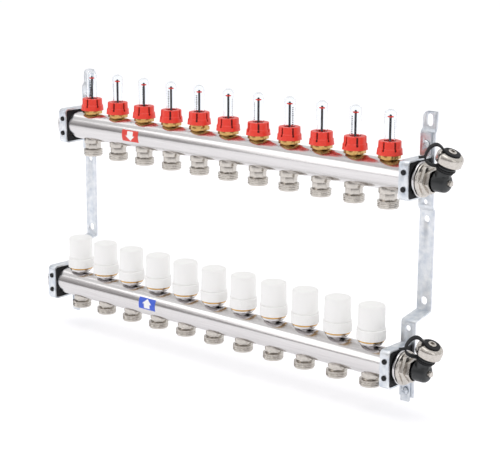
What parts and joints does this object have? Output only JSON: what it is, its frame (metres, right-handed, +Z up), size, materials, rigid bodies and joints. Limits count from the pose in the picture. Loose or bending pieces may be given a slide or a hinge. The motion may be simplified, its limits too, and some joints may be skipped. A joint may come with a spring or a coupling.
{
  "type": "underfloor heating manifold",
  "caption": "Underfloor heating manifold: twin steel bars with red flow meters above and white valve caps below, clamped to joggled wall brackets, each ending in a swivelling drain valve.",
  "frame": {"origin": "on the wall face of the left bracket, in the middle of its width and midway between the two bars", "axes": "+X along the bars from the open inlets to the drain valves, +Y into the wall, +Z up"},
  "size_m": [0.6476, 0.0836, 0.3482],
  "materials": {
    "stainless_steel": "polished along the bar",
    "zinc_plate": "bright zinc plated sheet, slightly blue",
    "black_rubber": "matt moulded",
    "nickel_plate": "satin nickel plate on brass",
    "black_plastic": "moulded, faint sheen",
    "red_plastic": "moulded, satin gloss",
    "grey_plastic": "moulded rod",
    "white_plastic": "fine moulded satin"
  },
  "bodies": {
    "frame": {"supply_bar": "stainless_steel", "return_bar": "stainless_steel", "left_bracket": "zinc_plate", "right_bracket": "zinc_plate", "clamp_upper_left": "zinc_plate", "saddle_upper_left": "black_rubber", "screw_upper_left": "zinc_plate", "clamp_upper_right": "zinc_plate", "saddle_upper_right": "black_rubber", "screw_upper_right": "zinc_plate", "clamp_lower_left": "zinc_plate", "saddle_lower_left": "black_rubber", "screw_lower_left": "zinc_plate", "clamp_lower_right": "zinc_plate", "saddle_lower_right": "black_rubber", "screw_lower_right": "zinc_plate", "supply_end_plug": "nickel_plate", "return_end_plug": "nickel_plate"},
    "flow_head_01": {"flow_head_01": "red_plastic"},
    "flow_head_02": {"flow_head_02": "red_plastic"},
    "flow_head_03": {"flow_head_03": "red_plastic"},
    "flow_head_04": {"flow_head_04": "red_plastic"},
    "flow_head_05": {"flow_head_05": "red_plastic"},
    "flow_head_06": {"flow_head_06": "red_plastic"},
    "flow_head_07": {"flow_head_07": "red_plastic"},
    "flow_head_08": {"flow_head_08": "red_plastic"},
    "flow_head_09": {"flow_head_09": "red_plastic"},
    "flow_head_10": {"flow_head_10": "red_plastic"},
    "flow_head_11": {"flow_head_11": "red_plastic"},
    "flow_indicator_01": {"flow_indicator_01": "grey_plastic"},
    "flow_indicator_02": {"flow_indicator_02": "grey_plastic"},
    "flow_indicator_03": {"flow_indicator_03": "grey_plastic"},
    "flow_indicator_04": {"flow_indicator_04": "grey_plastic"},
    "flow_indicator_05": {"flow_indicator_05": "grey_plastic"},
    "flow_indicator_06": {"flow_indicator_06": "grey_plastic"},
    "flow_indicator_07": {"flow_indicator_07": "grey_plastic"},
    "flow_indicator_08": {"flow_indicator_08": "grey_plastic"},
    "flow_indicator_09": {"flow_indicator_09": "grey_plastic"},
    "flow_indicator_10": {"flow_indicator_10": "grey_plastic"},
    "flow_indicator_11": {"flow_indicator_11": "grey_plastic"},
    "valve_cap_01": {"valve_cap_01": "white_plastic"},
    "valve_cap_02": {"valve_cap_02": "white_plastic"},
    "valve_cap_03": {"valve_cap_03": "white_plastic"},
    "valve_cap_04": {"valve_cap_04": "white_plastic"},
    "valve_cap_05": {"valve_cap_05": "white_plastic"},
    "valve_cap_06": {"valve_cap_06": "white_plastic"},
    "valve_cap_07": {"valve_cap_07": "white_plastic"},
    "valve_cap_08": {"valve_cap_08": "white_plastic"},
    "valve_cap_09": {"valve_cap_09": "white_plastic"},
    "valve_cap_10": {"valve_cap_10": "white_plastic"},
    "valve_cap_11": {"valve_cap_11": "white_plastic"},
    "supply_drain": {"supply_drain_body": "black_plastic", "supply_cap_tether": "black_rubber"},
    "supply_hose_cap": {"supply_hose_cap": "nickel_plate"},
    "supply_drain_stem": {"supply_drain_stem": "nickel_plate"},
    "return_drain": {"return_drain_body": "black_plastic", "return_cap_tether": "black_rubber"},
    "return_hose_cap": {"return_hose_cap": "nickel_plate"},
    "return_drain_stem": {"return_drain_stem": "nickel_plate"}
  },
  "joints": [
    {"name": "flow_head_01_turn", "type": "hinge", "parent": "frame", "child": "flow_head_01", "pos_m": [0.036, -0.03, 0.14], "axis": [0, 0, 1], "range_deg": [-900, 0]},
    {"name": "flow_head_02_turn", "type": "hinge", "parent": "frame", "child": "flow_head_02", "pos_m": [0.086, -0.03, 0.14], "axis": [0, 0, 1], "range_deg": [-900, 0]},
    {"name": "flow_head_03_turn", "type": "hinge", "parent": "frame", "child": "flow_head_03", "pos_m": [0.136, -0.03, 0.14], "axis": [0, 0, 1], "range_deg": [-900, 0]},
    {"name": "flow_head_04_turn", "type": "hinge", "parent": "frame", "child": "flow_head_04", "pos_m": [0.186, -0.03, 0.14], "axis": [0, 0, 1], "range_deg": [-900, 0]},
    {"name": "flow_head_05_turn", "type": "hinge", "parent": "frame", "child": "flow_head_05", "pos_m": [0.236, -0.03, 0.14], "axis": [0, 0, 1], "range_deg": [-900, 0]},
    {"name": "flow_head_06_turn", "type": "hinge", "parent": "frame", "child": "flow_head_06", "pos_m": [0.286, -0.03, 0.14], "axis": [0, 0, 1], "range_deg": [-900, 0]},
    {"name": "flow_head_07_turn", "type": "hinge", "parent": "frame", "child": "flow_head_07", "pos_m": [0.336, -0.03, 0.14], "axis": [0, 0, 1], "range_deg": [-900, 0]},
    {"name": "flow_head_08_turn", "type": "hinge", "parent": "frame", "child": "flow_head_08", "pos_m": [0.386, -0.03, 0.14], "axis": [0, 0, 1], "range_deg": [-900, 0]},
    {"name": "flow_head_09_turn", "type": "hinge", "parent": "frame", "child": "flow_head_09", "pos_m": [0.436, -0.03, 0.14], "axis": [0, 0, 1], "range_deg": [-900, 0]},
    {"name": "flow_head_10_turn", "type": "hinge", "parent": "frame", "child": "flow_head_10", "pos_m": [0.486, -0.03, 0.14], "axis": [0, 0, 1], "range_deg": [-900, 0]},
    {"name": "flow_head_11_turn", "type": "hinge", "parent": "frame", "child": "flow_head_11", "pos_m": [0.536, -0.03, 0.14], "axis": [0, 0, 1], "range_deg": [-900, 0]},
    {"name": "flow_indicator_01_slide", "type": "slide", "parent": "frame", "child": "flow_indicator_01", "axis": [0, 0, -1], "range_m": [0, 0.022], "stiffness_N_per_m": 10, "springref_m": -0.01},
    {"name": "flow_indicator_02_slide", "type": "slide", "parent": "frame", "child": "flow_indicator_02", "axis": [0, 0, -1], "range_m": [0, 0.022], "stiffness_N_per_m": 10, "springref_m": -0.01},
    {"name": "flow_indicator_03_slide", "type": "slide", "parent": "frame", "child": "flow_indicator_03", "axis": [0, 0, -1], "range_m": [0, 0.022], "stiffness_N_per_m": 10, "springref_m": -0.01},
    {"name": "flow_indicator_04_slide", "type": "slide", "parent": "frame", "child": "flow_indicator_04", "axis": [0, 0, -1], "range_m": [0, 0.022], "stiffness_N_per_m": 10, "springref_m": -0.01},
    {"name": "flow_indicator_05_slide", "type": "slide", "parent": "frame", "child": "flow_indicator_05", "axis": [0, 0, -1], "range_m": [0, 0.022], "stiffness_N_per_m": 10, "springref_m": -0.01},
    {"name": "flow_indicator_06_slide", "type": "slide", "parent": "frame", "child": "flow_indicator_06", "axis": [0, 0, -1], "range_m": [0, 0.022], "stiffness_N_per_m": 10, "springref_m": -0.01},
    {"name": "flow_indicator_07_slide", "type": "slide", "parent": "frame", "child": "flow_indicator_07", "axis": [0, 0, -1], "range_m": [0, 0.022], "stiffness_N_per_m": 10, "springref_m": -0.01},
    {"name": "flow_indicator_08_slide", "type": "slide", "parent": "frame", "child": "flow_indicator_08", "axis": [0, 0, -1], "range_m": [0, 0.022], "stiffness_N_per_m": 10, "springref_m": -0.01},
    {"name": "flow_indicator_09_slide", "type": "slide", "parent": "frame", "child": "flow_indicator_09", "axis": [0, 0, -1], "range_m": [0, 0.022], "stiffness_N_per_m": 10, "springref_m": -0.01},
    {"name": "flow_indicator_10_slide", "type": "slide", "parent": "frame", "child": "flow_indicator_10", "axis": [0, 0, -1], "range_m": [0, 0.022], "stiffness_N_per_m": 10, "springref_m": -0.01},
    {"name": "flow_indicator_11_slide", "type": "slide", "parent": "frame", "child": "flow_indicator_11", "axis": [0, 0, -1], "range_m": [0, 0.022], "stiffness_N_per_m": 10, "springref_m": -0.01},
    {"name": "valve_cap_01_turn", "type": "hinge", "parent": "frame", "child": "valve_cap_01", "pos_m": [0.036, -0.0575, -0.07], "axis": [0, 0, 1], "range_deg": [-900, 0]},
    {"name": "valve_cap_02_turn", "type": "hinge", "parent": "frame", "child": "valve_cap_02", "pos_m": [0.086, -0.0575, -0.07], "axis": [0, 0, 1], "range_deg": [-900, 0]},
    {"name": "valve_cap_03_turn", "type": "hinge", "parent": "frame", "child": "valve_cap_03", "pos_m": [0.136, -0.0575, -0.07], "axis": [0, 0, 1], "range_deg": [-900, 0]},
    {"name": "valve_cap_04_turn", "type": "hinge", "parent": "frame", "child": "valve_cap_04", "pos_m": [0.186, -0.0575, -0.07], "axis": [0, 0, 1], "range_deg": [-900, 0]},
    {"name": "valve_cap_05_turn", "type": "hinge", "parent": "frame", "child": "valve_cap_05", "pos_m": [0.236, -0.0575, -0.07], "axis": [0, 0, 1], "range_deg": [-900, 0]},
    {"name": "valve_cap_06_turn", "type": "hinge", "parent": "frame", "child": "valve_cap_06", "pos_m": [0.286, -0.0575, -0.07], "axis": [0, 0, 1], "range_deg": [-900, 0]},
    {"name": "valve_cap_07_turn", "type": "hinge", "parent": "frame", "child": "valve_cap_07", "pos_m": [0.336, -0.0575, -0.07], "axis": [0, 0, 1], "range_deg": [-900, 0]},
    {"name": "valve_cap_08_turn", "type": "hinge", "parent": "frame", "child": "valve_cap_08", "pos_m": [0.386, -0.0575, -0.07], "axis": [0, 0, 1], "range_deg": [-900, 0]},
    {"name": "valve_cap_09_turn", "type": "hinge", "parent": "frame", "child": "valve_cap_09", "pos_m": [0.436, -0.0575, -0.07], "axis": [0, 0, 1], "range_deg": [-900, 0]},
    {"name": "valve_cap_10_turn", "type": "hinge", "parent": "frame", "child": "valve_cap_10", "pos_m": [0.486, -0.0575, -0.07], "axis": [0, 0, 1], "range_deg": [-900, 0]},
    {"name": "valve_cap_11_turn", "type": "hinge", "parent": "frame", "child": "valve_cap_11", "pos_m": [0.536, -0.0575, -0.07], "axis": [0, 0, 1], "range_deg": [-900, 0]},
    {"name": "supply_drain_swivel", "type": "hinge", "parent": "frame", "child": "supply_drain", "pos_m": [0.6093, -0.03, 0.11], "axis": [1, 0, 0], "range_deg": [-24, 180]},
    {"name": "supply_hose_cap_turn", "type": "hinge", "parent": "supply_drain", "child": "supply_hose_cap", "pos_m": [0.61763, -0.03, 0.13669], "axis": [0.3907, 0, 0.9205], "range_deg": [0, 1080]},
    {"name": "supply_drain_stem_turn", "type": "hinge", "parent": "supply_drain", "child": "supply_drain_stem", "pos_m": [0.6193, -0.03, 0.11], "axis": [1, 0, 0], "range_deg": [0, 720]},
    {"name": "return_drain_swivel", "type": "hinge", "parent": "frame", "child": "return_drain", "pos_m": [0.6093, -0.0575, -0.11], "axis": [1, 0, 0], "continuous": true},
    {"name": "return_hose_cap_turn", "type": "hinge", "parent": "return_drain", "child": "return_hose_cap", "pos_m": [0.61763, -0.0575, -0.08331], "axis": [0.3907, 0, 0.9205], "range_deg": [0, 1080]},
    {"name": "return_drain_stem_turn", "type": "hinge", "parent": "return_drain", "child": "return_drain_stem", "pos_m": [0.6193, -0.0575, -0.11], "axis": [1, 0, 0], "range_deg": [0, 720]}
  ]
}
